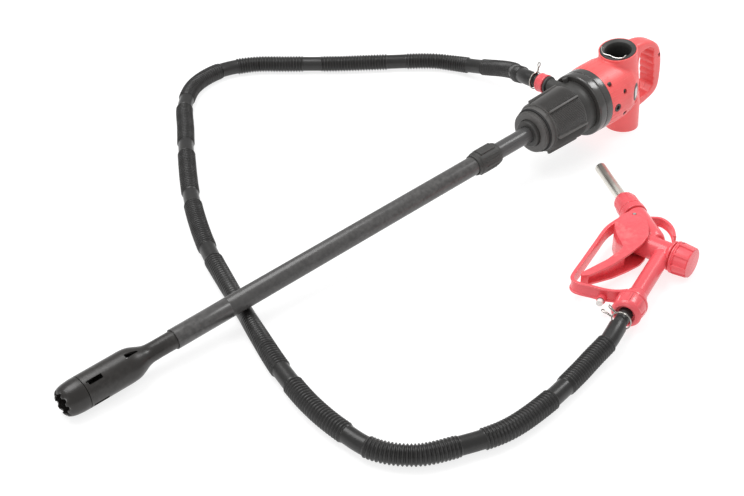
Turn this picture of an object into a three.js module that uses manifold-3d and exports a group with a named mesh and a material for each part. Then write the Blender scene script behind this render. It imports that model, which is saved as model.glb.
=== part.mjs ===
// A battery or mains powered drum transfer pump: motor head with a D-handle and a nozzle holster,
// drum bung collar, telescoping suction tube with a strainer foot, corrugated hose and hand nozzle.
// Millimetres, +Z up. The pump lies on a surface on its holster foot and its strainer.
import * as THREE from "three";
import { mergeVertices } from "three/addons/utils/BufferGeometryUtils.js";
import Module from "manifold-3d";

const wasm = await Module();
wasm.setup();

// ---- Driving dimensions ----
const GAP = 0.3; // clearance between pieces that touch
const TILT = THREE.MathUtils.degToRad(3.51); // the pump axis rises towards the handle
const AXIS_HEIGHT = 81; // pump axis above the surface, where it crosses the holster
const ORIGIN_X = -452.19; // middle of the pump and nozzle, from where the axis crosses the holster
const ORIGIN_Y = -136.33;
const NOZZLE_HEIGHT = 22.9; // middle plane of the nozzle, which lies on its side
const SIDES = 24; // facets on round pieces
const MIDDLE_SIDES = 18;
const SMALL_SIDES = 10;

// Stations along the pump axis, measured from the holster towards the strainer (negative x).
const HEAD_FRONT = -73.7;
const RING_FRONT = -100;
const COLLAR_BACK = -121.6;
const COLLAR_FRONT = -182.5;
const THREAD_FRONT = -200.5;
const GLAND_FRONT = -207;
const NUT_BACK = -272.5;
const NUT_FRONT = -317.5;
const TUBE_STEP = -835;
const NECK_END = -870.5;
const BULB_BACK = -902;
const BULB_RING = -966.5;
const FOOT_TIP = -995;

const HEAD_RADIUS = 48.3;
const TOWER_RADIUS = 28.9; // holster tower of the shell
const UPPER_TUBE_RADIUS = 12;
const LOWER_TUBE_RADIUS = 13.4;
const BULB_RADIUS = 21.2;
const HOSE_RADIUS = 11.2; // over the smooth cuffs
const HOLSTER_LEAN = THREE.MathUtils.degToRad(8.5);
const HOLSTER_TOP = 58.5;
const HANDLE_WIDTH = 27;

// ---- Materials ----
function paint(color, roughness, metalness = 0) {
  return new THREE.MeshStandardMaterial({ color, roughness, metalness });
}
const RED = paint(0xe0524f, 0.45);
const BLACK = paint(0x3a3836, 0.5);
const RUBBER = paint(0x1c1b1a, 0.8);
const STEEL = paint(0xb4b2ae, 0.35, 1);
const ALUMINIUM = paint(0xc6c1b8, 0.38, 1);
const COPPER = paint(0xa8623a, 0.4, 1);
const WHITE = paint(0xe6e2dc, 0.5);

// ---- Solid helpers ----
function solidOf(geometry) {
  const bare = geometry.index ? geometry.toNonIndexed() : geometry.clone();
  bare.deleteAttribute("normal");
  bare.deleteAttribute("uv");
  const merged = mergeVertices(bare, 1e-4);
  const vertProperties = merged.attributes.position.array;
  const triVerts = new Uint32Array(merged.index.array);
  return new wasm.Manifold(new wasm.Mesh({ numProp: 3, vertProperties, triVerts }));
}

function geometryOf(solid) {
  const mesh = solid.getMesh();
  const geometry = new THREE.BufferGeometry();
  geometry.setAttribute("position", new THREE.BufferAttribute(mesh.vertProperties, 3));
  geometry.setIndex(new THREE.BufferAttribute(mesh.triVerts, 1));
  return geometry;
}

function join(first, ...others) {
  return geometryOf(others.reduce((sum, next) => sum.add(solidOf(next)), solidOf(first)));
}

function cut(base, ...tools) {
  return geometryOf(tools.reduce((rest, tool) => rest.subtract(solidOf(tool)), solidOf(base)));
}

function overlap(first, second) {
  return geometryOf(solidOf(first).intersect(solidOf(second)));
}

// A piece turned about the x axis; the profile lists [x, radius] with its outer wall towards +x.
function turned(profile, sides = SIDES) {
  const points = profile.map(([x, radius]) => new THREE.Vector2(radius, x));
  return new THREE.LatheGeometry(points, sides).rotateZ(-Math.PI / 2);
}

function rod(x0, x1, radius, sides = SIDES) {
  return turned([[x0, 0], [x0, radius], [x1, radius], [x1, 0]], sides);
}

function ring(x0, x1, outer, inner, sides = SIDES) {
  return turned([[x0, inner], [x0, outer], [x1, outer], [x1, inner], [x0, inner]], sides);
}

function block(x0, x1, y0, y1, z0, z1) {
  const box = new THREE.BoxGeometry(x1 - x0, y1 - y0, z1 - z0);
  return box.translate((x0 + x1) / 2, (y0 + y1) / 2, (z0 + z1) / 2);
}

// A flat outline of [a, b] points, extruded between two heights.
function slab(outline, low, high, holes = []) {
  const loop = (points) => points.map(([a, b]) => new THREE.Vector2(a, b));
  const shape = new THREE.Shape(loop(outline));
  shape.holes = holes.map((hole) => new THREE.Path(loop(hole)));
  const options = { depth: high - low, bevelEnabled: false };
  return new THREE.ExtrudeGeometry(shape, options).translate(0, 0, low);
}

// Turns a piece made along +x to point along a direction from a point.
function aimed(geometry, from, towards) {
  const direction = new THREE.Vector3(...towards).normalize();
  const turn = new THREE.Quaternion().setFromUnitVectors(new THREE.Vector3(1, 0, 0), direction);
  return geometry.applyQuaternion(turn).translate(...from);
}

// Copies of a tool set evenly round the x axis.
function around(count, make, start = 0) {
  return Array.from({ length: count }, (_, i) => make().rotateX(start + (i * 2 * Math.PI) / count));
}

// Points round a circle in a plane, for outlines.
function arc(cx, cy, radius, from, to, steps) {
  return Array.from({ length: steps + 1 }, (_, i) => {
    const angle = THREE.MathUtils.degToRad(from + ((to - from) * i) / steps);
    return [cx + radius * Math.cos(angle), cy + radius * Math.sin(angle)];
  });
}

// A closed wire or strap swept along hand-placed points.
function swept(points, section, steps) {
  const path = new THREE.CatmullRomCurve3(points.map((p) => new THREE.Vector3(...p)), false, "centripetal");
  const shape = new THREE.Shape(section.map(([a, b]) => new THREE.Vector2(a, b)));
  return new THREE.ExtrudeGeometry(shape, { steps, bevelEnabled: false, extrudePath: path });
}

const roundSection = (radius, sides) => arc(0, 0, radius, 0, 360 - 360 / sides, sides - 1);

// ---- Scene graph ----
const part = new THREE.Group();
part.position.set(-ORIGIN_X, -ORIGIN_Y, 0);

const pump = new THREE.Group(); // its x axis is the pump axis, with the holster crossing at 0
pump.position.z = AXIS_HEIGHT;
pump.rotation.y = -TILT;
part.add(pump);

const holster = new THREE.Group(); // its x axis points up the nozzle holster
holster.position.x = -1;
holster.rotation.y = -Math.PI / 2 - HOLSTER_LEAN;
pump.add(holster);

function add(parent, name, geometry, material) {
  const mesh = new THREE.Mesh(geometry, material);
  mesh.name = name;
  parent.add(mesh);
}

part.updateMatrixWorld(true);
const toPump = (geometry) => geometry.applyMatrix4(holster.matrix);
const toPart = (geometry) => geometry.applyMatrix4(pump.matrix);

// ---- Motor head ----
const SCREWS = [ // x, z and depth of each screw head in the near shell
  [-66.5, 36, -31],
  [-44, 19, -41],
  [-42, -18, -42],
  [76, 19, -8],
];
const SOCKET = [-63, -46.5, 1]; // charging socket in the near shell
const PLATE_AT = [-33.3, 0, 3]; // the blank plate lies on a facet that faces this way from here
const PLATE_DIRECTION = [0.42, -0.9, 0.02];

function handleOutline() {
  const outer = [[2, 50], [14, 56], [34, 55], [50, 51], [65, 44], [77, 33], [84, 16], [86, 2], [86, -14],
    [84.5, -29], [80, -42], [70, -50], [54, -54.5], [33, -58.5], [10, -62]];
  return outer.reverse();
}

function handleOpening() {
  const scallop = (z) => arc(73.5 - 0.1 * z, z, 11, 208, 152, 4);
  const grip = [-23, -11, 1, 13, 25].flatMap((z) => scallop(z));
  return [[30, 42], [26, 30], [26, -34], [32, -41], [56, -39], [65, -31], ...grip, [50, 42]];
}

function handle() {
  const flat = slab(handleOutline(), -HANDLE_WIDTH / 2, HANDLE_WIDTH / 2, [handleOpening()]);
  return flat.rotateX(Math.PI / 2);
}

function headShell() {
  const barrel = turned([[HEAD_FRONT, 0], [HEAD_FRONT, HEAD_RADIUS], [-60, 49.2], [-32, 49], [-14, 45],
    [2, 37], [14, 25], [20, 0]]);
  const tower = toPump(turned([[-90, 0], [-90, 24.5], [-84, 25.4], [-42, TOWER_RADIUS],
    [HOLSTER_TOP - 0.5, TOWER_RADIUS], [HOLSTER_TOP - 0.5, 0]]));
  const outside = join(barrel, tower, handle());
  const cupBore = toPump(turned([[-78, 0], [-78, 21.3], [44, 21.3], [HOLSTER_TOP - 4, 27],
    [HOLSTER_TOP + 1, 27], [HOLSTER_TOP + 1, 0]]));
  const motorRoom = turned([[HEAD_FRONT - 1, 0], [HEAD_FRONT - 1, 44.5], [-40, 44.5], [-40, 0]]);
  const gripRoom = block(70, 81, -9, 9, -44, 22);
  const alongScrew = (x, z, from, to, radius) => {
    return aimed(rod(from, to, radius, SMALL_SIDES), [x, 0, z], [0, 1, 0]);
  };
  const bosses = SCREWS.slice(0, 3).map(([x, z]) => alongScrew(x, z, -32, 22, 5));
  const bossed = join(cut(outside, motorRoom), ...bosses.map((boss) => overlap(boss, outside)));
  const recesses = SCREWS.map(([x, z, depth]) => alongScrew(x, z, -60, depth, 3.9));
  const screwHoles = SCREWS.map(([x, z]) => alongScrew(x, z, -50, 11, 2.3));
  const socketHole = aimed(rod(-12, 12, 6.3, SMALL_SIDES), SOCKET, [0, 1, 0]);
  const switchHole = block(-66, -46, 40, 60, -6, 8);
  const plateFacet = aimed(block(45.6, 60, -22, 22, -19, 19), PLATE_AT, PLATE_DIRECTION);
  return cut(bossed, cupBore, gripRoom, ...recesses, ...screwHoles, socketHole, switchHole, plateFacet);
}

function addHead() {
  const shell = toPart(headShell());
  const floor = block(-400, 400, -200, 200, -60, 0);
  const standing = cut(shell, floor);
  const farSide = block(-400, 400, -GAP / 2, 200, -60, 400);
  const nearSide = block(-400, 400, -200, GAP / 2, -60, 400);
  add(part, "housing_near", cut(standing, farSide), RED);
  add(part, "housing_far", cut(standing, nearSide), RED);
  const plate = aimed(rod(45.9, 46.8, 10.5, MIDDLE_SIDES), PLATE_AT, PLATE_DIRECTION);
  add(pump, "rating_plate", plate, ALUMINIUM);
  SCREWS.forEach(([x, z, depth], i) => {
    const head = rod(depth - 3, depth - GAP, 3.4, SMALL_SIDES);
    const screw = join(head, rod(depth - 1, 10, 1.9, SMALL_SIDES));
    add(pump, "housing_screw_" + (i + 1), aimed(screw, [x, 0, z], [0, 1, 0]), STEEL);
  });
  const socket = cut(rod(-2.5, 11, 6, SMALL_SIDES), rod(-3, 8, 3.4, SMALL_SIDES));
  add(pump, "power_socket", aimed(socket, SOCKET, [0, 1, 0]), BLACK);
  add(pump, "power_switch", block(-65.6, -46.4, 42.5, 50.5, -5.6, 7.6), BLACK);
}

function addHolster() {
  const sleeve = turned([[-74, 0], [-74, 20.8], [44, 20.8], [HOLSTER_TOP - 3.6, 26.6], [HOLSTER_TOP, 26.6],
    [HOLSTER_TOP, 24.4], [46, 18.4], [-70, 17.6], [-70, 0]]);
  add(holster, "holster_sleeve", sleeve, BLACK);
  const across = [[-25, 4], [-19.5, 14], [-8, 20.5], [3, 18.5], [14, 20], [21, 13.5]];
  const wire = swept(across.map(([y, z]) => [HOLSTER_TOP + 1.4, y, z]), roundSection(1, 8), 14);
  add(holster, "holster_wire_clip", wire, STEEL);
}

function addMotor() {
  const base = turned([[RING_FRONT, 24], [RING_FRONT, 47], [RING_FRONT + 1.5, HEAD_RADIUS], [-87, HEAD_RADIUS],
    [-86.4, 47.4], [-85, 47.4], [-84.4, HEAD_RADIUS], [HEAD_FRONT - GAP, HEAD_RADIUS], [HEAD_FRONT - GAP, 43],
    [-96, 43], [-96, 24], [RING_FRONT, 24]]);
  add(pump, "base_ring", base, BLACK);
  add(pump, "motor_can", turned([[-94, 18.5], [-94, 20.5], [-50, 20.5], [-50, 6], [-52.4, 6], [-52.4, 18.5],
    [-94, 18.5]]), STEEL);
  const endBell = join(ring(-97, -94.3, 23, 6.4), ring(-94.5, -91, 18.1, 6.4));
  add(pump, "motor_end_bell", endBell, BLACK);
  add(pump, "motor_front_bearing", ring(-96.5, -92, 6, 2.9, SMALL_SIDES), STEEL);
  add(pump, "motor_rear_bearing", ring(-52.2, -50.2, 5.6, 2.9, SMALL_SIDES), STEEL);
  const windings = rod(-88, -62, 16.5, MIDDLE_SIDES);
  const commutator = rod(-62.1, -56, 8, SMALL_SIDES);
  const armature = join(rod(-117.5, -50.2, 2.5, SMALL_SIDES), windings, commutator);
  add(pump, "motor_armature", armature, COPPER);
}

// ---- Outlet body and drum bung collar ----
const OUTLET_AT = [-110.6, 28, 23.6];
const OUTLET_TOWARDS = [0, 0.995, -0.1];

function addOutlet() {
  const body = turned([[-186, 0], [-186, 26.8], [COLLAR_BACK + GAP, 26.8], [COLLAR_BACK + GAP, 40],
    [RING_FRONT - GAP, 40], [RING_FRONT - GAP, 0]]);
  const boss = aimed(rod(-18, 19, 10.2, MIDDLE_SIDES), OUTLET_AT, OUTLET_TOWARDS);
  const ventStub = aimed(rod(30, 46.5, 3.6, SMALL_SIDES), [-106, 0, 0], [0, 0.41, 0.91]);
  const chamber = rod(-187, -108.5, 14, MIDDLE_SIDES);
  const shaftHole = rod(-112, -99, 3.6, SMALL_SIDES); // running clearance for the motor shaft
  const sealSeat = rod(-104.5, -99, 7.5, SMALL_SIDES);
  const port = aimed(rod(-24, 20, 7, SMALL_SIDES), OUTLET_AT, OUTLET_TOWARDS);
  add(pump, "outlet_body", cut(join(body, boss, ventStub), chamber, shaftHole, sealSeat, port), BLACK);
  add(pump, "shaft_lip_seal", ring(-104.2, -100.6, 7.2, 2.9, SMALL_SIDES), RUBBER);
  const outlet = new THREE.Group();
  outlet.position.set(...OUTLET_AT);
  const outletDirection = new THREE.Vector3(...OUTLET_TOWARDS).normalize();
  outlet.quaternion.setFromUnitVectors(new THREE.Vector3(1, 0, 0), outletDirection);
  pump.add(outlet);
  add(outlet, "outlet_washer", ring(19.3, 21, 10, 6.8, SMALL_SIDES), RUBBER);
  const nut = turned([[20.4, 10.6], [20.4, 14.4], [33, 14.4], [35, 13], [35, 9.3], [25, 9.3], [25, 10.6],
    [20.4, 10.6]], MIDDLE_SIDES);
  add(outlet, "outlet_union_nut", nut, RED);
  const tail = turned([[21.3, 6.5], [21.3, 10], [24.7, 10], [24.7, 8.8], [45, 8.8], [45, 6.5], [21.3, 6.5]],
    MIDDLE_SIDES);
  add(outlet, "outlet_hose_tail", tail, BLACK);
  add(outlet, "pump_hose_clamp", clampWire(), STEEL);
}

// A sprung wire clamp: a ring round the hose tail with a standing eye.
function clampWire() {
  const loop = new THREE.TorusGeometry(12.6, 1, 6, 18).rotateY(Math.PI / 2);
  const eye = new THREE.TorusGeometry(3.2, 0.9, 5, 9).translate(0, 22.5, 0);
  const stem = new THREE.CylinderGeometry(1.5, 1.5, 8, 8).translate(0, 16.3, 0);
  return join(loop, stem, eye).rotateX(Math.PI * 0.62).translate(42, 0, 0);
}

function addBungCollar() {
  const sleeve = turned([[THREAD_FRONT, 20.8], [THREAD_FRONT, 29.2], [THREAD_FRONT + 1, 30], [-190, 30], [-190, 34],
    [COLLAR_FRONT, 34], [COLLAR_FRONT, 37], [COLLAR_BACK, 40.6], [COLLAR_BACK, 37.2], [-178, 33.6], [-178, 27.6],
    [-186.6, 27.6], [-186.6, 20.8], [THREAD_FRONT, 20.8]]);
  const fin = () => block(COLLAR_FRONT + 0.5, COLLAR_BACK - 0.2, -1.5, 1.5, 34.5, 43.4);
  const fins = around(6, fin, Math.PI / 6);
  add(pump, "bung_collar", join(sleeve, ...fins), BLACK);
  add(pump, "bung_gasket", ring(-193, -190 - GAP, 33.4, 30.4), RUBBER);
  const gland = turned([[GLAND_FRONT, 12.4], [GLAND_FRONT, 19], [GLAND_FRONT + 1, 20], [-186.3, 20], [-186.3, 13.6],
    [-177, 13.6], [-177, 12.4], [GLAND_FRONT, 12.4]]);
  add(pump, "tube_gland", gland, BLACK);
}

// ---- Telescoping suction tube and its drive ----
function addTubes() {
  const upper = turned([[-650, 11], [-650, UPPER_TUBE_RADIUS], [-176.7, UPPER_TUBE_RADIUS], [-176.7, 13.6],
    [-173, 13.6], [-173, 11], [-650, 11]]);
  add(pump, "upper_tube", upper, ALUMINIUM);
  const lower = ring(TUBE_STEP, -283, LOWER_TUBE_RADIUS, 12.35);
  add(pump, "lower_tube", lower, BLACK);
  add(pump, "lock_collet", ring(-282.6, -278.8, LOWER_TUBE_RADIUS, 12.35), WHITE);
  const sleeve = turned([[NUT_FRONT, 13.8], [NUT_FRONT, 15], [-312, 15], [-311, 16.6], [-277, 16.6],
    [NUT_BACK, 15.4], [NUT_BACK, 12.4], [-278.4, 12.4], [-278.4, 13.8], [NUT_FRONT, 13.8]]);
  const pads = around(2, () => block(-308, -280, -7, 7, 15, 18.2));
  add(pump, "tube_lock_nut", join(sleeve, ...pads), BLACK);
}

function hexagon(radius) {
  return arc(0, 0, radius, 0, 300, 5);
}

const alongAxis = (outline, x0, x1) => slab(outline, x0, x1).rotateX(Math.PI / 2).rotateZ(Math.PI / 2);

function addDrive() {
  const coupling = cut(rod(-130, -110.2, 6, SMALL_SIDES), rod(-118.4, -109, 2.9, SMALL_SIDES),
    alongAxis(hexagon(3.5), -131, -119.4));
  add(pump, "shaft_coupling", coupling, STEEL);
  add(pump, "upper_drive_shaft", alongAxis(hexagon(3), -640, -119.8), STEEL);
  const ports = around(4, () => rod(-212, -200, 2.2, 8).translate(0, 7.2, 0));
  const guide = cut(ring(-210, -202, 10.7, 3.6, MIDDLE_SIDES), ...ports);
  add(pump, "upper_shaft_guide", guide, WHITE);
  const tubeShaft = cut(rod(-910, -300, 5, SMALL_SIDES), alongAxis(hexagon(3.5), -700, -299));
  add(pump, "lower_drive_shaft", join(tubeShaft, rod(-930, -909, 3, SMALL_SIDES)), STEEL);
  add(pump, "foot_shaft_bush", ring(-862, -852, 9.2, 5.35, MIDDLE_SIDES), WHITE);
}

// ---- Strainer foot ----
function addFoot() {
  const outside = turned([[BULB_RING, 0], [BULB_RING, BULB_RADIUS], [BULB_BACK, BULB_RADIUS], [-893, 20],
    [-883, 14.5], [NECK_END, 11.9], [TUBE_STEP - GAP, 11.7], [TUBE_STEP - GAP, 12], [-818, 12], [-818, 0]]);
  const inside = turned([[BULB_RING - 1, 0], [BULB_RING - 1, 19.2], [BULB_BACK, 19.2], [-888, 12], [-872, 9.5],
    [-817, 9.5], [-817, 0]]);
  const sideSlots = around(4, () => block(-963, -942, -3, 3, 12, 26), 0.52);
  const shoulderSlot = [[-906, -3.5], [-906, 3.5], [-889, 1.2], [-889, -1.2]];
  const shoulderSlots = around(3, () => slab(shoulderSlot, 10, 26), 0.25);
  add(pump, "strainer_cage", cut(outside, inside, ...sideSlots, ...shoulderSlots), BLACK);
  const rim = turned([[FOOT_TIP, 13.5], [FOOT_TIP, 15.5], [-991, 18.2], [-984, 20.2], [-975, 21.1],
    [BULB_RING - GAP, BULB_RADIUS], [BULB_RING - GAP, 18.9], [-960, 18.9], [-960, 17.4], [-984, 17],
    [FOOT_TIP, 13.5]]);
  const notches = around(9, () => aimed(rod(10, 26, 3.4, 10), [FOOT_TIP, 0, 0], [0, 0, 1]));
  add(pump, "strainer_rim", cut(rim, ...notches), BLACK);
  const blades = around(4, () => block(-8, 8, -0.9, 0.9, 3.6, 16.5).rotateZ(0.7));
  const impeller = join(rod(-9, 9, 5.6, SMALL_SIDES), ...blades).translate(-920, 0, 0);
  add(pump, "impeller", cut(impeller, rod(-932, -908, 3.4, SMALL_SIDES)), WHITE);
}

// ---- Hose, as it lies from the outlet to the nozzle: x, y and height from where the axis meets the holster ----
const HOSE_ROUTE = [
  [-111.6, 74.2, 93.2], [-110.5, 88, 91.6], [-103, 108, 86], [-86, 130, 72.5], [-68, 152, 62],
  [-54, 178, 50], [-45, 206, 38], [-42, 236, 27], [-43, 266, 18.5], [-50, 294, 14],
  [-71, 328, 13.3], [-132, 379, 13.3], [-194, 428, 13.3], [-253, 480, 13.3], [-300, 520, 13.3],
  [-353, 538, 13.3], [-411, 526, 13.3], [-462, 484, 13.3], [-506, 423, 13.3], [-548, 364, 13.3],
  [-619, 254, 13.3], [-672, 149, 13.3], [-700, 72, 12.4], [-723, 2, 11.4], [-740, -48, 12.4], [-762, -118, 13.3],
  [-776, -185, 13.3], [-779, -240, 13.3], [-773, -293, 13.3], [-745, -331, 13.3],
  [-700, -353, 13.3], [-642, -371, 13.3], [-576, -371, 13.3], [-508, -361, 13.3], [-470, -354, 15],
  [-438, -350, 19.5], [-424, -346.1, 21.8], [-410.3, -341.3, 22.9],
];

function addHose() {
  const tube = swept(HOSE_ROUTE, roundSection(HOSE_RADIUS, 8), 70);
  add(part, "transfer_hose", tube, RUBBER);
}

// ---- Hand nozzle, lying on its side: plan positions in the same frame ----
const nozzle = new THREE.Group();
nozzle.position.z = NOZZLE_HEIGHT;
part.add(nozzle);

const JUNCTION = [-250, -284];
const UNION_BACK = [-355, -321.5];
const BODY_FRONT = [-202.8, -202.6];
const SPOUT_TOWARDS = [0.482, 0.876, 0];
const CAP_CENTRE = [-236, -307.5];
const VALVE_TOWARDS = [-0.18, 0.984, 0]; // from the cap through the valve to the lever
const PIVOT = [-223.2, -213.8];
const LEVER_TOWARDS = [-0.973, -0.228, 0]; // from the pivot to the tip of the lever

const placed = (geometry, [x, y], towards) => aimed(geometry, [x, y, 0], towards);
const between = ([x0, y0], [x1, y1]) => [x1 - x0, y1 - y0, 0];
const GRIP_TOWARDS = between(JUNCTION, UNION_BACK);

function addNozzleBody() {
  const gripLength = Math.hypot(...GRIP_TOWARDS);
  const grip = placed(rod(-6, gripLength, 11.6, MIDDLE_SIDES), JUNCTION, GRIP_TOWARDS);
  const shoulder = placed(rod(gripLength - 14, gripLength, 14.5, MIDDLE_SIDES), JUNCTION, GRIP_TOWARDS);
  const barrel = placed(rod(-66, 0, 16.8, MIDDLE_SIDES), BODY_FRONT, SPOUT_TOWARDS);
  const thread = placed(rod(-2, 9, 13, MIDDLE_SIDES), BODY_FRONT, SPOUT_TOWARDS);
  const chamber = placed(rod(13.8, 78, 15.6, MIDDLE_SIDES), CAP_CENTRE, VALVE_TOWARDS);
  const capThread = placed(rod(3, 16, 17, MIDDLE_SIDES), CAP_CENTRE, VALVE_TOWARDS);
  const outside = join(grip, shoulder, barrel, thread, chamber, capThread);
  const gripBore = placed(rod(10, gripLength + 1, 7, SMALL_SIDES), JUNCTION, GRIP_TOWARDS);
  const valveBore = placed(rod(2, 62, 12, MIDDLE_SIDES), CAP_CENTRE, VALVE_TOWARDS);
  const stemBore = placed(rod(60, 80, 3, SMALL_SIDES), CAP_CENTRE, VALVE_TOWARDS);
  const spoutBore = placed(rod(-44, 10, 8.6, SMALL_SIDES), BODY_FRONT, SPOUT_TOWARDS);
  const pinHole = new THREE.CylinderGeometry(2.6, 2.6, 80, SMALL_SIDES).rotateX(Math.PI / 2);
  const pivotHole = pinHole.translate(PIVOT[0], PIVOT[1], 0);
  add(nozzle, "nozzle_body", cut(outside, gripBore, valveBore, stemBore, spoutBore, pivotHole), RED);
}

function addSpout() {
  const nut = turned([[3, 13.4], [3, 18.3], [14, 18.3], [15, 17], [36, 17], [46, 13.5], [51, 9.6], [51, 8.4],
    [9.4, 8.4], [9.4, 13.4], [3, 13.4]], MIDDLE_SIDES);
  add(nozzle, "spout_nut", placed(nut, BODY_FRONT, SPOUT_TOWARDS), RED);
  add(nozzle, "spout", placed(ring(-20, 134, 8, 6.9, MIDDLE_SIDES), BODY_FRONT, SPOUT_TOWARDS), ALUMINIUM);
}

function addValve() {
  const grooves = around(8, () => block(-20, 20, -2, 2, 21.4, 30));
  const cap = cut(rod(-14, 11.4, 22.4, MIDDLE_SIDES), rod(-9, 14, 17.4, MIDDLE_SIDES), ...grooves);
  add(nozzle, "valve_cap", placed(cap, CAP_CENTRE, VALVE_TOWARDS), RED);
  const stem = join(rod(8, 96, 2.6, SMALL_SIDES), rod(30, 34, 10.5, MIDDLE_SIDES));
  add(nozzle, "valve_stem", placed(stem, CAP_CENTRE, VALVE_TOWARDS), STEEL);
  const spring = ring(-8.5, 20.4, 8.5, 6.5, SMALL_SIDES); // stands in for the coil
  add(nozzle, "valve_spring", placed(spring, CAP_CENTRE, VALVE_TOWARDS), STEEL);
}

const LEVER_OUTLINE = [[-222, -205], [-240, -203], [-260, -209.5], [-276, -227], [-289, -250], [-322, -250.5],
  [-366, -243], [-369, -248], [-362, -254], [-324, -262.5], [-295, -264], [-267, -263.5], [-248, -258], [-232, -245],
  [-219, -230], [-214, -216]];

// A slab along the lever, seen from the side, that narrows from the pivot to the tip.
function leverWedge(thick, thin) {
  const side = [[-60, -thick], [30, -thick], [152, -thin], [152, thin], [30, thick], [-60, thick]];
  return placed(slab(side, -90, 90).rotateX(Math.PI / 2), PIVOT, LEVER_TOWARDS);
}

function addTrigger() {
  const outside = overlap(slab(LEVER_OUTLINE, -21, 21), leverWedge(21, 7.5));
  const room = slab([[-195, -290], [-195, -190], [-232, -190], [-240, -206.8], [-258, -212.5], [-273, -230],
    [-287, -253.8], [-322, -254.2], [-362, -247], [-362, -290]], -17.9, 17.9);
  const inside = overlap(room, leverWedge(17.9, 4.4));
  const pinHole = new THREE.CylinderGeometry(2.9, 2.9, 80, SMALL_SIDES).rotateX(Math.PI / 2);
  const lever = cut(outside, inside, pinHole.translate(PIVOT[0], PIVOT[1], 0));
  add(nozzle, "trigger_lever", lever, RED);
  const pin = new THREE.CylinderGeometry(2.2, 2.2, 43, SMALL_SIDES).rotateX(Math.PI / 2);
  add(nozzle, "trigger_pin", pin.translate(PIVOT[0], PIVOT[1], 0), STEEL);
}

// A strap that follows a plan outline, made as an extruded band of constant thickness.
function band(points, thickness, low, high) {
  const side = (offset) => points.map(([x, y], i) => {
    const [x0, y0] = points[Math.max(i - 1, 0)];
    const [x1, y1] = points[Math.min(i + 1, points.length - 1)];
    const length = Math.hypot(x1 - x0, y1 - y0);
    return [x - ((y1 - y0) / length) * offset, y + ((x1 - x0) / length) * offset];
  });
  return slab([...side(thickness / 2), ...side(-thickness / 2).reverse()], low, high);
}

const GUARD_PATH = [[-215, -197], [-241, -196.8], [-262, -199.2], [-300, -212], [-345, -228], [-372, -237.5],
  [-382, -242.5], [-386, -250], [-384, -259], [-378, -272], [-371.5, -287], [-363.5, -298.5],
  [-355, -305.5], [-349, -309]];
const HOOK_PATH = [[-198, -219], [-187, -232], [-188, -246], [-196, -260], [-208, -272]];
const LATCH_AT = [-372, -286, -4];
const LATCH_TOWARDS = [-0.919, -0.394, 0];

function addGuard() {
  const strap = band(GUARD_PATH, 5, -9, 9);
  const latchBoss = aimed(rod(-2.4, 9, 6, MIDDLE_SIDES), LATCH_AT, LATCH_TOWARDS);
  const latchHole = aimed(rod(-14, 20, 2.8, SMALL_SIDES), LATCH_AT, LATCH_TOWARDS);
  const latchSink = aimed(rod(3.8, 20, 4.8, MIDDLE_SIDES), LATCH_AT, LATCH_TOWARDS); // room for the pressed head
  const barrelRoom = placed(rod(-70, 3, 17.2, MIDDLE_SIDES), BODY_FRONT, SPOUT_TOWARDS);
  const gripRoom = placed(rod(0, 140, 15, MIDDLE_SIDES), JUNCTION, GRIP_TOWARDS);
  const guard = cut(join(strap, latchBoss), latchHole, latchSink, barrelRoom, gripRoom);
  add(nozzle, "trigger_guard", guard, RED);
  const pin = join(rod(-6, 9.4, 2.4, SMALL_SIDES), rod(9.4, 16, 4.4, SMALL_SIDES));
  add(nozzle, "hold_open_pin", aimed(pin, LATCH_AT, LATCH_TOWARDS), WHITE);
  add(nozzle, "hanging_hook", cut(band(HOOK_PATH, 4.2, -7, 7), barrelRoom), RED);
}

function addNozzleInlet() {
  const length = Math.hypot(...GRIP_TOWARDS);
  const nut = turned([[length + 0.4, 7.6], [length + 0.4, 17.5], [length + 4, 20.6], [length + 25, 20.6],
    [length + 31, 18], [length + 33, 9.3], [length + 20, 9.3], [length + 20, 10.9], [length + 3, 10.9],
    [length + 3, 7.6], [length + 0.4, 7.6]], MIDDLE_SIDES);
  add(nozzle, "nozzle_union_nut", placed(nut, JUNCTION, GRIP_TOWARDS), RED);
  const tail = turned([[length + 15, 6.5], [length + 15, 10.5], [length + 19.7, 10.5], [length + 19.7, 8.8],
    [length + 57, 8.8], [length + 57, 6.5], [length + 15, 6.5]], MIDDLE_SIDES);
  add(nozzle, "nozzle_hose_tail", placed(tail, JUNCTION, GRIP_TOWARDS), BLACK);
  const clamp = clampWire().translate(length + 45 - 42, 0, 0);
  add(nozzle, "nozzle_hose_clamp", placed(clamp, JUNCTION, GRIP_TOWARDS), STEEL);
}

addHead();
addHolster();
addMotor();
addOutlet();
addBungCollar();
addTubes();
addDrive();
addFoot();
addHose();
addNozzleBody();
addSpout();
addValve();
addTrigger();
addGuard();
addNozzleInlet();

export default part;
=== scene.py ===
"""Looks of a drum transfer pump: motor head, bung collar, telescopic tube, corrugated hose and hand nozzle.

Shapes are made in millimetres in the frame of the pump, the holster or the nozzle, then placed in metres.
"""
import math

import bmesh
import bpy
from mathutils import Matrix, Vector


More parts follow.
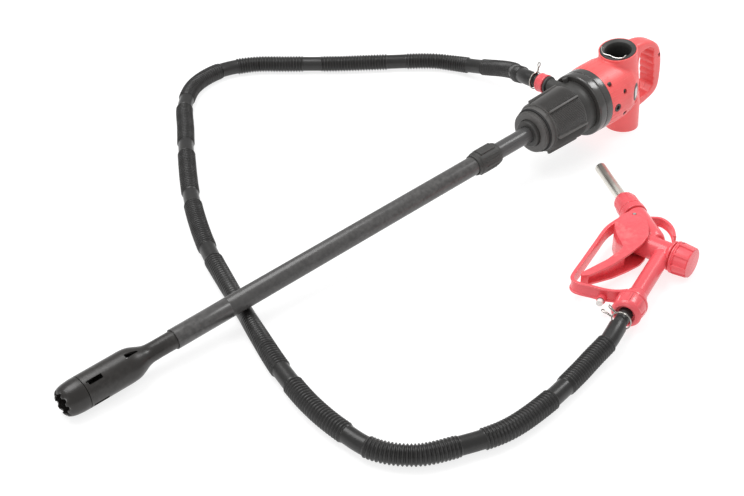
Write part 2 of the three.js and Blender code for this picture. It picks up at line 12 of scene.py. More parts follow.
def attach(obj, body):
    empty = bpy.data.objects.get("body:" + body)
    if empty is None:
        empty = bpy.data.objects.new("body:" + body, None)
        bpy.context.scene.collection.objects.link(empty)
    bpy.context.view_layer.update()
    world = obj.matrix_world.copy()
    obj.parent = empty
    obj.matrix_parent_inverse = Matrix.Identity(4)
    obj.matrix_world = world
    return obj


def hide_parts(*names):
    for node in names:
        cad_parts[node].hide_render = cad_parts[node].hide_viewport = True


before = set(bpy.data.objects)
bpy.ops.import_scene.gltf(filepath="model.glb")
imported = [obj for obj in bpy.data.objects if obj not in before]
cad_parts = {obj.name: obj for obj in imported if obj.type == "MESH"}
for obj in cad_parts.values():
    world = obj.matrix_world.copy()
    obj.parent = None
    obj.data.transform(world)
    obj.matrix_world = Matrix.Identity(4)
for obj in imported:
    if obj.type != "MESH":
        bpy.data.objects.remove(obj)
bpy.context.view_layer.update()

# ---- Driving dimensions, millimetres ----
TILT = math.radians(3.51)  # the pump axis rises towards the handle
AXIS_HEIGHT = 81
NOZZLE_HEIGHT = 22.9
HOLSTER_LEAN = math.radians(8.5)
SEAM = 0.3  # gap between touching pieces

# Stations along the pump axis, from the holster (0) towards the strainer.
HEAD_FRONT = -73.7
RING_FRONT = -100
COLLAR_BACK = -121.6
COLLAR_FRONT = -182.5
THREAD_FRONT = -200.5
GLAND_FRONT = -207
NUT_BACK = -272.5
NUT_FRONT = -317.5
TUBE_JOINT = -752
TUBE_STEP = -835
NECK_END = -870.5
BULB_BACK = -902
BULB_RING = -966.5
FOOT_TIP = -995

HEAD_RADIUS = 48.3
UPPER_TUBE_RADIUS = 12
LOWER_TUBE_RADIUS = 13.4
BULB_RADIUS = 21.2
HOLSTER_TOP = 58.5
TOWER_RADIUS = 29.1  # the part of the shell round the holster
HANDLE_HALF_WIDTH = 13.5
HOSE_CREST = 13.2  # radius over the ribs
HOSE_VALLEY = 11.1
HOSE_CUFF = 11.4
RIB_PITCH = 4.6
CUFF_PERIOD = 139  # from one smooth cuff to the next
CUFF_LENGTH = 29

# ---- Frames ----
FLOOR = Matrix.Translation((0.45219, 0.13633, 0)) @ Matrix.Scale(0.001, 4)
PUMP = FLOOR @ Matrix.Translation((0, 0, AXIS_HEIGHT)) @ Matrix.Rotation(-TILT, 4, "Y")
HOLSTER_IN_PUMP = Matrix.Translation((-1, 0, 0)) @ Matrix.Rotation(-math.pi / 2 - HOLSTER_LEAN, 4, "Y")
HOLSTER = PUMP @ HOLSTER_IN_PUMP
NOZZLE = FLOOR @ Matrix.Translation((0, 0, NOZZLE_HEIGHT))


def aimed(start, towards):
    """Places a shape made along +x at a point, pointing along a direction."""
    turn = Vector((1, 0, 0)).rotation_difference(Vector(towards).normalized())
    return Matrix.Translation(start) @ turn.to_matrix().to_4x4()


OUTLET = PUMP @ aimed((-110.6, 28, 23.6), (0, 0.995, -0.1))


# ---- Camera, floor and light ----
def add_camera():
    lens = bpy.data.cameras.new("camera")
    lens.lens = 68.9
    lens.sensor_width = 36
    lens.clip_start = 0.01
    camera = bpy.data.objects.new("camera", lens)
    camera.location = (-1.1140, -1.0217, 1.107)
    camera.rotation_euler = (math.radians(55.07), 0, math.radians(-42.42))
    bpy.context.scene.collection.objects.link(camera)
    bpy.context.scene.camera = camera


def add_softbox(name, place, target, width, radiance):
    light = bpy.data.lights.new(name, "AREA")
    light.shape = "SQUARE"
    light.size = width
    light.energy = radiance * math.pi * width * width
    lamp = bpy.data.objects.new(name, light)
    lamp.location = place
    lamp.rotation_euler = (Vector(target) - Vector(place)).to_track_quat("-Z", "Y").to_euler()
    bpy.context.scene.collection.objects.link(lamp)


def add_studio():
    """A pale floor and three soft lights; the third one puts a glint on the base ring and the tubes."""
    world = bpy.data.worlds.new("studio")
    world.use_nodes = True
    world.node_tree.nodes["Background"].inputs["Color"].default_value = (1, 1, 1, 1)
    world.node_tree.nodes["Background"].inputs["Strength"].default_value = 0.6
    bpy.context.scene.world = world
    bpy.context.scene.view_settings.view_transform = "Standard"
    add_softbox("softbox_over", (-0.3, 0.9, 2.3), (0, 0, 0), 1.5, 5.3)
    add_softbox("softbox_side", (-2.2, -0.6, 1.2), (0, 0, 0.05), 1.0, 1.7)
    add_softbox("softbox_glint", (1.49, -0.15, 1.5), (0.3, 0.136, 0.08), 0.6, 10)
    floor = new_object("floor", plate_shape([(-6, -6), (6, -6), (6, 6), (-6, 6)], -0.02, -0.0005))
    floor.data.materials.append(floor_finish())


# ---- Shapes ----
def soften(points, radius, steps=4, closed=False):
    """Rounds the corners of a line of (a, b) points."""
    count = len(points)
    result = []
    for i, point in enumerate(points):
        here = Vector(point)
        if not closed and i in (0, count - 1):
            result.append(here)
            continue
        before = Vector(points[i - 1]) - here
        after = Vector(points[(i + 1) % count]) - here
        reach = min(radius, 0.46 * before.length, 0.46 * after.length)
        start = here + before.normalized() * reach
        end = here + after.normalized() * reach
        for step in range(steps + 1):
            t = step / steps
            result.append(start * (1 - t) ** 2 + here * 2 * t * (1 - t) + end * t * t)
    return [(p[0], p[1]) for p in result]


def lathe(profile, sides=72, ripple=None):
    """Turns (x, radius) points about the x axis; a profile that ends off the axis closes on itself."""
    bm = bmesh.new()
    rings = []
    for x, radius in profile:
        if radius < 1e-6:
            rings.append([bm.verts.new((x, 0, 0))])
            continue
        ring = []
        for i in range(sides):
            angle = 2 * math.pi * i / sides
            r = radius + (ripple(x, radius, angle) if ripple else 0)
            ring.append(bm.verts.new((x, r * math.cos(angle), r * math.sin(angle))))
        rings.append(ring)
    hollow = len(rings[0]) > 1
    pairs = list(zip(rings, rings[1:])) + ([(rings[-1], rings[0])] if hollow else [])
    for first, second in pairs:
        for i in range(sides):
            j = (i + 1) % sides
            corners = [first[i % len(first)], first[j % len(first)], second[j % len(second)],
                       second[i % len(second)]]
            distinct = list(dict.fromkeys(corners))
            if len(distinct) > 2:
                bm.faces.new(distinct)
    bmesh.ops.recalc_face_normals(bm, faces=bm.faces)
    return bm


def rod(x0, x1, radius, sides=48):
    return lathe([(x0, 0), (x0, radius), (x1, radius), (x1, 0)], sides)


def tube(x0, x1, outer, inner, sides=72, edge=0.5):
    return lathe(soften([(x0, inner), (x0, outer), (x1, outer), (x1, inner)], edge, 2, True), sides)


def plate_shape(outline, low, high):
    """A flat outline of (x, y) points, extruded between two heights."""
    bm = bmesh.new()
    bottom = [bm.verts.new((x, y, low)) for x, y in outline]
    top = [bm.verts.new((x, y, high)) for x, y in outline]
    bm.faces.new(bottom)
    bm.faces.new(top)
    for i in range(len(outline)):
        j = (i + 1) % len(outline)
        bm.faces.new((bottom[i], bottom[j], top[j], top[i]))
    bmesh.ops.recalc_face_normals(bm, faces=bm.faces)
    return bm


def block(x0, x1, y0, y1, z0, z1):
    return plate_shape([(x0, y0), (x1, y0), (x1, y1), (x0, y1)], z0, z1)


def upright(shape):
    """Stands a shape drawn in (x, z) in the pump's vertical plane."""
    shape.transform(Matrix.Rotation(math.pi / 2, 4, "X"))
    return shape


def moved(shape, matrix):
    shape.transform(matrix)
    return shape


def turned(shape, angle):
    return moved(shape, Matrix.Rotation(angle, 4, "X"))


def arc(cx, cy, radius, start, end, steps):
    angles = [math.radians(start + (end - start) * i / steps) for i in range(steps + 1)]
    return [(cx + radius * math.cos(a), cy + radius * math.sin(a)) for a in angles]


def through(points, step):
    """A smooth line through given points, as evenly spaced points."""
    ends = [2 * points[0] - points[1]] + points + [2 * points[-1] - points[-2]]
    fine = []
    for a, b, c, d in zip(ends, ends[1:], ends[2:], ends[3:]):
        t1 = (b - a).length ** 0.5
        t2 = t1 + (c - b).length ** 0.5
        t3 = t2 + (d - c).length ** 0.5
        for i in range(16):
            t = t1 + (t2 - t1) * i / 16
            ab = a.lerp(b, t / t1)
            bc = b.lerp(c, (t - t1) / (t2 - t1))
            cd = c.lerp(d, (t - t2) / (t3 - t2))
            abc = ab.lerp(bc, t / t2)
            bcd = bc.lerp(cd, (t - t1) / (t3 - t1))
            fine.append(abc.lerp(bcd, (t - t1) / (t2 - t1)))
    fine.append(points[-1])
    lengths = [0]
    for a, b in zip(fine, fine[1:]):
        lengths.append(lengths[-1] + (b - a).length)
    count = max(2, round(lengths[-1] / step))
    even = []
    k = 0
    for i in range(count + 1):
        want = lengths[-1] * i / count
        while k < len(fine) - 2 and lengths[k + 1] < want:
            k += 1
        even.append(fine[k].lerp(fine[k + 1], (want - lengths[k]) / (lengths[k + 1] - lengths[k])))
    return even


def sweep(line, section, up=None, sizes=None):
    """Carries a closed section of (side, up) points along a line of points."""
    bm = bmesh.new()
    rings = []
    last = None
    for i, point in enumerate(line):
        before = line[max(i - 1, 0)]
        after = line[min(i + 1, len(line) - 1)]
        along = (after - before).normalized()
        if up is not None:
            side = along.cross(Vector(up)).normalized()
        elif last is None:
            side = along.orthogonal().normalized()
        else:
            side = (last - along * last.dot(along)).normalized()
        last = side
        lift = side.cross(along)
        size = sizes[i] if sizes else 1
        rings.append([bm.verts.new(point + (side * a + lift * b) * size) for a, b in section])
    count = len(section)
    for first, second in zip(rings, rings[1:]):
        for i in range(count):
            j = (i + 1) % count
            bm.faces.new((first[i], first[j], second[j], second[i]))
    bm.faces.new(rings[0])
    bm.faces.new(rings[-1])
    bmesh.ops.recalc_face_normals(bm, faces=bm.faces)
    return bm


def round_section(radius, sides):
    return arc(0, 0, radius, 0, 360 - 360 / sides, sides - 1)


def wire(points, radius, step=0.8, sides=10):
    return sweep(through([Vector(p) for p in points], step), round_section(radius, sides))


def joined(*shapes):
    whole = bmesh.new()
    for shape in shapes:
        mesh = bpy.data.meshes.new("part")
        shape.to_mesh(mesh)
        shape.free()
        whole.from_mesh(mesh)
        bpy.data.meshes.remove(mesh)
    return whole


def new_object(name, shape):
    mesh = bpy.data.meshes.new(name)
    shape.to_mesh(mesh)
    shape.free()
    made = bpy.data.objects.new(name, mesh)
    bpy.context.scene.collection.objects.link(made)
    return made


def taken(piece, extras=()):
    """Gives back the shape of an object after its modifiers, and removes the object."""
    depsgraph = bpy.context.evaluated_depsgraph_get()
    mesh = bpy.data.meshes.new_from_object(piece.evaluated_get(depsgraph))
    shape = bmesh.new()
    shape.from_mesh(mesh)
    bpy.data.meshes.remove(mesh)
    for leftover in (piece, *extras):
        bpy.data.meshes.remove(leftover.data)
    return shape


def carved(shape, *tools, how="DIFFERENCE"):
    piece = new_object("carved", shape)
    cutters = [new_object("cutter", tool) for tool in tools]
    for cutter in cutters:
        modifier = piece.modifiers.new("carve", "BOOLEAN")
        modifier.operation = how
        modifier.solver = "MANIFOLD"
        modifier.object = cutter
    return taken(piece, cutters)


def moulded(shape, voxel, passes):
    """Blends overlapping shapes into one skin with soft inner and outer corners."""
    piece = new_object("moulded", shape)
    skin = piece.modifiers.new("skin", "REMESH")
    skin.mode = "VOXEL"
    skin.voxel_size = voxel
    soft = piece.modifiers.new("soft", "SMOOTH")
    soft.factor = 0.5
    soft.iterations = passes
    return taken(piece)


def eased(shape, width, segments=2, angle=35):
    """Rounds the sharp edges of a shape."""
    piece = new_object("eased", shape)
    bevel = piece.modifiers.new("ease", "BEVEL")
    bevel.width = width
    bevel.segments = segments
    bevel.angle_limit = math.radians(angle)
    return taken(piece)


def add(name, shape, place, finish, body, nodes, crease=34):
    """Places a finished piece, hangs it on its body and hides the nodes it stands for."""
    shape.transform(place)
    piece = new_object(name, shape)
    piece.data.materials.append(finish)
    piece.data.shade_smooth()
    piece.data.set_sharp_from_angle(angle=math.radians(crease))
    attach(piece, body)
    if nodes:
        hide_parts(*nodes)
    return piece


# ---- Shader groups ----
def new_group(name, inputs, outputs):
    group = bpy.data.node_groups.new(name, "ShaderNodeTree")
    for label, value in inputs:
        socket = group.interface.new_socket(name=label, in_out="INPUT", socket_type="NodeSocketFloat")
        socket.default_value = value
    for label in outputs:
        group.interface.new_socket(name=label, in_out="OUTPUT", socket_type="NodeSocketFloat")
    return group, group.nodes.new("NodeGroupInput"), group.nodes.new("NodeGroupOutput")


def noise(tree, scale, detail, vector=None):
    node = tree.nodes.new("ShaderNodeTexNoise")
    node.inputs["Detail"].default_value = detail
    if isinstance(scale, (int, float)):
        node.inputs["Scale"].default_value = scale
    else:
        tree.links.new(scale, node.inputs["Scale"])
    if vector:
        tree.links.new(vector, node.inputs["Vector"])
    return node.outputs["Fac"]


def math_node(tree, operation, first, second):
    node = tree.nodes.new("ShaderNodeMath")
    node.operation = operation
    for socket, value in zip(node.inputs, (first, second)):
        if isinstance(value, (int, float)):
            socket.default_value = value
        else:
            tree.links.new(value, socket)
    return node.outputs[0]


def ranged(tree, value, low, high, to_low, to_high):
    node = tree.nodes.new("ShaderNodeMapRange")
    tree.links.new(value, node.inputs["Value"])
    for label, number in (("From Min", low), ("From Max", high), ("To Min", to_low), ("To Max", to_high)):
        node.inputs[label].default_value = number
    return node.outputs["Result"]


def make_grain_group():
    """Moulded texture: a fine grain and a slow drift of tone, both from 0 to 1."""
    group, given, out = new_group("moulded_grain", [("Grain Scale", 1600), ("Drift Scale", 22)],
                                  ["Grain", "Drift"])
    place = group.nodes.new("ShaderNodeTexCoord").outputs["Object"]
    group.links.new(noise(group, given.outputs["Grain Scale"], 2, place), out.inputs["Grain"])
    group.links.new(noise(group, given.outputs["Drift Scale"], 3, place), out.inputs["Drift"])
    return group


def make_wear_group():
    """A mask of rubbed outer edges, broken up by noise."""
    group, given, out = new_group("edge_wear", [("Reach", 0.52), ("Breakup Scale", 180)], ["Wear"])
    geometry = group.nodes.new("ShaderNodeNewGeometry")
    place = group.nodes.new("ShaderNodeTexCoord").outputs["Object"]
    edge = ranged(group, geometry.outputs["Pointiness"], 0.5, 0.58, 0, 1)
    patchy = ranged(group, noise(group, given.outputs["Breakup Scale"], 4, place), 0.35, 0.7, 0, 1)
    strength = math_node(group, "MULTIPLY", edge, patchy)
    group.links.new(math_node(group, "MULTIPLY", strength, given.outputs["Reach"]), out.inputs["Wear"])
    return group


def make_drawn_group():
    """Fine lines along the pump's tubes, as drawing and sliding leave them."""
    group, given, out = new_group("drawn_lines", [("Line Scale", 900)], ["Lines"])
    place = group.nodes.new("ShaderNodeTexCoord").outputs["Object"]
    level = group.nodes.new("ShaderNodeMapping")  # brings the tilted tubes onto x
    level.inputs["Rotation"].default_value = (0, TILT, 0)
    group.links.new(place, level.inputs["Vector"])
    stretch = group.nodes.new("ShaderNodeMapping")
    stretch.inputs["Scale"].default_value = (0.012, 1, 1)
    group.links.new(level.outputs["Vector"], stretch.inputs["Vector"])
    group.links.new(noise(group, given.outputs["Line Scale"], 2, stretch.outputs["Vector"]),
                    out.inputs["Lines"])
    return group


GRAIN = make_grain_group()
WEAR = make_wear_group()
DRAWN = make_drawn_group()


def use_group(tree, group, **values):
    node = tree.nodes.new("ShaderNodeGroup")
    node.node_tree = group
    for label, value in values.items():
        node.inputs[label.replace("_", " ")].default_value = value
    return node


def shade(colour, factor):
    return [min(1, c * factor) for c in colour] + [1]


def blend_colours(tree, mask, first, second):
    node = tree.nodes.new("ShaderNodeMix")
    node.data_type = "RGBA"
    tree.links.new(mask, node.inputs["Factor"])
    for label, colour in (("A", first), ("B", second)):
        socket = [s for s in node.inputs if s.name == label and s.type == "RGBA"][0]
        if isinstance(colour, bpy.types.NodeSocket):
            tree.links.new(colour, socket)
        else:
            socket.default_value = colour
    return [s for s in node.outputs if s.type == "RGBA"][0]


def make_finish(name, colour, worn, roughness, grain=1600, bump=0.1, wear=0.5, metallic=0, lines=False,
                spread=0.08, specular=0.5, drift_of_tone=0.1):
    """A procedural finish with grain, drift of tone, rubbed edges and uneven gloss."""
    material = bpy.data.materials.new(name)
    material.use_nodes = True
    tree = material.node_tree
    surface = tree.nodes["Principled BSDF"]
    detail = use_group(tree, GRAIN, Grain_Scale=grain)
    rubbed = use_group(tree, WEAR, Reach=wear)
    drift = ranged(tree, detail.outputs["Drift"], 0.3, 0.7, 0, 1)
    tone = blend_colours(tree, drift, shade(colour, 1 - drift_of_tone), shade(colour, 1 + drift_of_tone))
    tree.links.new(blend_colours(tree, rubbed.outputs["Wear"], tone, shade(worn, 1)),
                   surface.inputs["Base Color"])
    height = detail.outputs["Grain"]
    if lines:
        drawn = use_group(tree, DRAWN)
        height = drawn.outputs["Lines"]
    gloss = math_node(tree, "ADD", math_node(tree, "MULTIPLY", detail.outputs["Drift"], 0.6),
                      math_node(tree, "MULTIPLY", height, 0.4))
    tree.links.new(ranged(tree, gloss, 0.3, 0.7, roughness - spread, roughness + spread),
                   surface.inputs["Roughness"])
    relief = tree.nodes.new("ShaderNodeBump")
    relief.inputs["Strength"].default_value = bump
    relief.inputs["Distance"].default_value = 0.0002
    tree.links.new(height, relief.inputs["Height"])
    tree.links.new(relief.outputs["Normal"], surface.inputs["Normal"])
    surface.inputs["Metallic"].default_value = metallic
    surface.inputs["Specular IOR Level"].default_value = specular
    return material


def floor_finish():
    material = bpy.data.materials.new("pale_floor")
    material.use_nodes = True
    surface = material.node_tree.nodes["Principled BSDF"]
    surface.inputs["Base Color"].default_value = (0.3, 0.3, 0.3, 1)
    surface.inputs["Roughness"].default_value = 0.9
    surface.inputs["Emission Color"].default_value = (1, 1, 1, 1)
    surface.inputs["Emission Strength"].default_value = 0.78
    return material


SHELL_RED = make_finish("shell_red", (0.84, 0.115, 0.115), (0.88, 0.26, 0.24), 0.36, bump=0.16)
NOZZLE_RED = make_finish("nozzle_red", (0.82, 0.1, 0.12), (0.87, 0.27, 0.26), 0.26, bump=0.05)
HANDLE_BLACK = make_finish("matt_black", (0.035, 0.034, 0.032), (0.09, 0.088, 0.085), 0.52, bump=0.22)
COLLAR_BLACK = make_finish("collar_black", (0.08, 0.077, 0.074), (0.11, 0.105, 0.1), 0.5, bump=0.2)
RING_BLACK = make_finish("ring_black", (0.04, 0.038, 0.036), (0.1, 0.097, 0.094), 0.22, bump=0.05,
                         spread=0.04, specular=0.7)
FOOT_BLACK = make_finish("foot_black", (0.015, 0.013, 0.0115), (0.05, 0.047, 0.044), 0.34, bump=0.1)
TUBE_GREY = make_finish("tube_grey", (0.056, 0.054, 0.053), (0.13, 0.127, 0.124), 0.3, bump=0.12,
                        lines=True, spread=0.03, drift_of_tone=0.03)
UPPER_GREY = make_finish("upper_tube_grey", (0.07, 0.069, 0.069), (0.2, 0.2, 0.2), 0.28, bump=0.12,
                         lines=True, spread=0.03, drift_of_tone=0.03)
HOSE_BLACK = make_finish("hose_black", (0.011, 0.0105, 0.01), (0.045, 0.043, 0.042), 0.36, grain=900,
                         bump=0.12)
CUFF_BLACK = make_finish("tail_black", (0.02, 0.019, 0.018), (0.06, 0.058, 0.056), 0.4, bump=0.1)
SEAL_RUBBER = make_finish("seal_rubber", (0.012, 0.012, 0.012), (0.03, 0.03, 0.03), 0.75, bump=0.2)
BRIGHT_STEEL = make_finish("bright_steel", (0.62, 0.60, 0.57), (0.75, 0.73, 0.7), 0.25, bump=0.1,
                           metallic=1)
SPOUT_METAL = make_finish("spout_metal", (0.8, 0.77, 0.7), (0.86, 0.84, 0.78), 0.36, grain=700, bump=0.1,
                          metallic=1)
PLATE_METAL = make_finish("plate_metal", (0.55, 0.54, 0.53), (0.7, 0.7, 0.7), 0.38, bump=0.2, metallic=1,
                          lines=True)
COPPER_METAL = make_finish("copper", (0.62, 0.25, 0.12), (0.75, 0.4, 0.25), 0.35, bump=0.2, metallic=1)
WIRE_STEEL = make_finish("wire_steel", (0.4, 0.38, 0.35), (0.6, 0.58, 0.55), 0.3, bump=0.1, metallic=1)
DARK_STEEL = make_finish("dark_steel", (0.09, 0.086, 0.082), (0.2, 0.195, 0.19), 0.4, bump=0.15, metallic=1)
WHITE_PLASTIC = make_finish("white_plastic", (0.8, 0.78, 0.75), (0.9, 0.88, 0.86), 0.4, bump=0.08)


# ---- Hose ----
HOSE_ROUTE = [  # x, y and height above the floor, from where the pump axis crosses the holster
    (-111.6, 74.2, 93.2), (-110.5, 88, 91.6), (-103, 108, 86), (-86, 130, 72.5), (-68, 152, 62),
    (-54, 178, 50), (-45, 206, 38), (-42, 236, 27), (-43, 266, 18.5), (-50, 294, 14),
    (-71, 328, 13.3), (-132, 379, 13.3), (-194, 428, 13.3), (-253, 480, 13.3), (-300, 520, 13.3),
    (-353, 538, 13.3), (-411, 526, 13.3), (-462, 484, 13.3), (-506, 423, 13.3), (-548, 364, 13.3),
    (-619, 254, 13.3), (-672, 149, 13.3), (-700, 72, 12.4), (-723, 2, 11.4), (-740, -48, 12.4),
    (-762, -118, 13.3), (-776, -185, 13.3), (-779, -240, 13.3), (-773, -293, 13.3), (-745, -331, 13.3),
    (-700, -353, 13.3), (-642, -371, 13.3), (-576, -371, 13.3), (-508, -361, 13.3), (-470, -354, 15),
    (-438, -350, 19.5), (-424, -346.1, 21.8), (-410.3, -341.3, 22.9),
]
CROSSING = 23  # the route point under the suction tube, where a smooth cuff lies
HOSE_STEP = 0.75


def hose_radius(distance, length, cuff_at):
    """Radius of the hose: ribbed stretches between smooth cuffs, and a cuff over each hose tail."""
    from_cuff = (distance - cuff_at + CUFF_PERIOD / 2) % CUFF_PERIOD - CUFF_PERIOD / 2
    from_end = min(distance, length - distance)
    inside = max(CUFF_LENGTH / 2 - abs(from_cuff), 30 - from_end)
    if inside > 0:
        return HOSE_CUFF
    wave = math.cos(2 * math.pi * distance / RIB_PITCH)
    crest = math.copysign(abs(wave) ** 0.6, wave)
    ribbed = (HOSE_CREST + HOSE_VALLEY) / 2 + crest * (HOSE_CREST - HOSE_VALLEY) / 2
    fade = min(1, -inside / 2)
    return HOSE_CUFF + (ribbed - HOSE_CUFF) * fade


def add_hose():
    route = [Vector(p) for p in HOSE_ROUTE]
    line = through(route, HOSE_STEP)
    step = sum((b - a).length for a, b in zip(line, line[1:])) / (len(line) - 1)
    length = step * (len(line) - 1)
    nearest = min(range(len(line)), key=lambda i: (line[i] - route[CROSSING]).length)
    sizes = [hose_radius(i * step, length, nearest * step) for i in range(len(line))]
    sizes = [min(size, point.z - 0.05) for size, point in zip(sizes, line)]  # the ribs rest on the floor
    shape = sweep(line, round_section(1, 28), sizes=sizes)
    hose = add("hose", shape, FLOOR, HOSE_BLACK, "root", ["transfer_hose"], crease=60)


# ---- Motor head ----
SCREWS = [(-66.5, 36, -31), (-44, 19, -41), (-42, -18, -42), (76, 19, -8)]  # x, z and depth
SOCKET = (-63, -46.5, 1)
PLATE_AT = (-33.3, 0, 3)
PLATE_DIRECTION = (0.42, -0.9, 0.02)
RIB_ANGLES = [12 + 9 * i for i in range(13)]  # moulded lines on each flank, from the top


def handle_outline():
    points = [(-14, 44), (2, 50), (14, 57), (34, 56.5), (50, 52), (65, 45), (77, 34), (83, 16), (84.5, 2),
              (84.5, -14), (83.5, -29), (80, -42), (70, -50), (54, -54.5), (33, -58.5), (10, -62)]
    return soften(points[::-1], 10, 5, True)


def handle_opening():
    grip = []
    for z in (-23, -11, 1, 13, 25):
        grip += arc(73.5 - 0.1 * z, z, 11, 208, 152, 8)
    outline = [(30, 42), (26, 30), (26, -34), (32, -41), (56, -39), (65, -31)] + grip + [(59, 36), (50, 42)]
    return soften(outline, 2.5, 3, True)


def barrel_profile(extra):
    return [(HEAD_FRONT, HEAD_RADIUS + extra), (-60, 49.2 + extra), (-32, 49 + extra), (-22, 47.3 + extra),
            (-14, 45 + extra), (-6, 41.6 + extra)]


def moulded_line(angle):
    """A fine raised line along the barrel."""
    outer = barrel_profile(0.32)
    inner = [(x, r) for x, r in barrel_profile(-1.5)][::-1]
    strip = upright(plate_shape(outer + inner, -0.4, 0.4))
    return turned(strip, math.radians(-angle))


def head_shell():
    barrel = lathe([(-90, 0), (-90, HEAD_RADIUS), (HEAD_FRONT, HEAD_RADIUS), (-60, 49.4), (-32, 49.3),
                    (-14, 45.4), (2, 37.6), (14, 26), (21, 0)])
    tower = moved(lathe([(-100, 0), (-100, 24.8), (-84, 25.6), (-42, TOWER_RADIUS), (70, TOWER_RADIUS),
                         (70, 0)]), HOLSTER_IN_PUMP)
    bar = upright(plate_shape(handle_outline(), -HANDLE_HALF_WIDTH - 0.3, HANDLE_HALF_WIDTH + 0.3))
    handle = eased(bar, 8, 4, 40)
    rough = moulded(joined(barrel, tower, handle), 1.4, 12)
    opened = carved(rough, upright(plate_shape(handle_opening(), -40, 40)))
    skin = moulded(opened, 1.0, 4)
    ribbed = carved(skin, *[moulded_line(side * angle) for side in (1, -1) for angle in RIB_ANGLES],
                    how="UNION")
    front = lathe([(-120, 0), (-120, 70), (HEAD_FRONT, 70), (HEAD_FRONT, 0)], 64)
    motor_room = rod(HEAD_FRONT - 1, -40, 44.5)
    top = moved(rod(HOLSTER_TOP - 0.5, 120, 60), HOLSTER_IN_PUMP)
    cup = moved(lathe([(-110, 0), (-110, 21.3), (44, 21.3), (HOLSTER_TOP - 4, 27.1),
                       (HOLSTER_TOP + 9, 27.1), (HOLSTER_TOP + 9, 0)]), HOLSTER_IN_PUMP)
    under = moved(block(-400, 400, -200, 200, -120, 0.05), PUMP.inverted() @ FLOOR)
    recesses = [moved(rod(-60, depth, 3.9, 32), aimed((x, 0, z), (0, 1, 0))) for x, z, depth in SCREWS]
    socket_dish = moved(lathe([(-60, 0), (-60, 9.5), (-10, 9.5), (-9, 6.6), (12, 6.3), (12, 0)], 48),
                        aimed(SOCKET, (0, 1, 0)))
    switch_hole = block(-66.2, -45.8, 40, 60, -6.2, 8.2)
    facet = moved(block(45.6, 70, -22, 22, -19, 19), aimed(PLATE_AT, PLATE_DIRECTION))
    return carved(ribbed, front, motor_room, top, cup, under, *recesses, socket_dish, switch_hole, facet)


def add_head():
    near = head_shell()
    far = near.copy()
    near_half = carved(near, block(-200, 200, -SEAM / 2, 200, -200, 200))
    far_half = carved(far, block(-200, 200, -200, SEAM / 2, -200, 200))
    add("shell_near", near_half, PUMP, SHELL_RED, "root", ["housing_near"])
    add("shell_far", far_half, PUMP, SHELL_RED, "root", ["housing_far"])
    for i, (x, z, depth) in enumerate(SCREWS):
        head = lathe(soften([(-3, 0), (-3, 2.2), (-1.8, 3.4), (0, 3.4), (0, 0)], 0.5), 32)
        slots = [turned(block(-4, -1.7, -0.5, 0.5, -2, 2), angle) for angle in (0.4, 0.4 + math.pi / 2)]
        screw = joined(carved(head, *slots), rod(-0.5, 10, 1.9, 24))
        place = PUMP @ aimed((x, depth - SEAM, z), (0, 1, 0))
        add("screw_%d" % (i + 1), screw, place, DARK_STEEL, "root", ["housing_screw_%d" % (i + 1)])
    socket = lathe(soften([(-2.5, 3.4), (-2.5, 6), (11, 6), (11, 0), (8, 0), (8, 3.4)], 0.4, 2), 48)
    pin = lathe(soften([(8, 0), (8, 1.1), (-0.5, 1.1), (-1.2, 0)], 0.3, 2), 20)
    add("socket", joined(socket, pin), PUMP @ aimed(SOCKET, (0, 1, 0)), HANDLE_BLACK, "root",
        ["power_socket"])
    add_switch()
    add_plate()


def add_switch():
    body = block(-65.6, -46.4, 42.5, 49.4, -5.6, 7.6)
    rocker = plate_shape([(-64.4, 49.2), (-47.6, 49.2), (-47.6, 50.5), (-56, 49.7), (-64.4, 50.1)], -4.6,
                         6.6)
    add("switch", joined(eased(body, 0.8), eased(rocker, 0.4)), PUMP, HANDLE_BLACK, "power_switch",
        ["power_switch"])


def add_plate():
    place = aimed(PLATE_AT, PLATE_DIRECTION)
    oval = Matrix.Diagonal((1, 1, 1.3, 1))
    add("plate_backing", moved(moved(rod(45.1, 46, 10.8, 64), oval), place), PUMP, HANDLE_BLACK, "root", [])
    panel = moved(eased(block(45.9, 46.5, -5.5, 6.5, -9, 7), 0.2, 2), place)
    add("plate", panel, PUMP, PLATE_METAL, "root", ["rating_plate"])


def add_holster():
    profile = [(-74, 0), (-74, 20.8), (44, 20.8), (HOLSTER_TOP - 3.6, 26.7), (HOLSTER_TOP + 0.6, 26.7),
               (HOLSTER_TOP + 0.9, 25), (HOLSTER_TOP - 1.2, 20), (52, 18.6), (46, 18.4), (-70, 17.6),
               (-70, 0)]
    add("holster", lathe(soften(profile, 1.2, 4), 96), HOLSTER, HANDLE_BLACK, "root", ["holster_sleeve"])
    rim = HOLSTER_TOP + 1.5
    points = [(rim - 5, -17, 8), (rim, -21.5, 6.5), (rim + 0.6, -22.5, 14), (rim, -17, 19), (rim, -8, 21.6),
              (rim, -3, 21), (rim, 4, 22.4), (rim, 10, 23), (rim, 16, 19.2), (rim, 20.5, 15),
              (rim, 23.5, 11), (rim - 4, 20, 9)]
    inset = 0.95  # keeps the bends of the wire inside the rim
    bends = [(x, inset * y, inset * z) for x, y, z in points]
    add("holster_wire", wire(bends, 0.8), HOLSTER, BRIGHT_STEEL, "root", ["holster_wire_clip"])


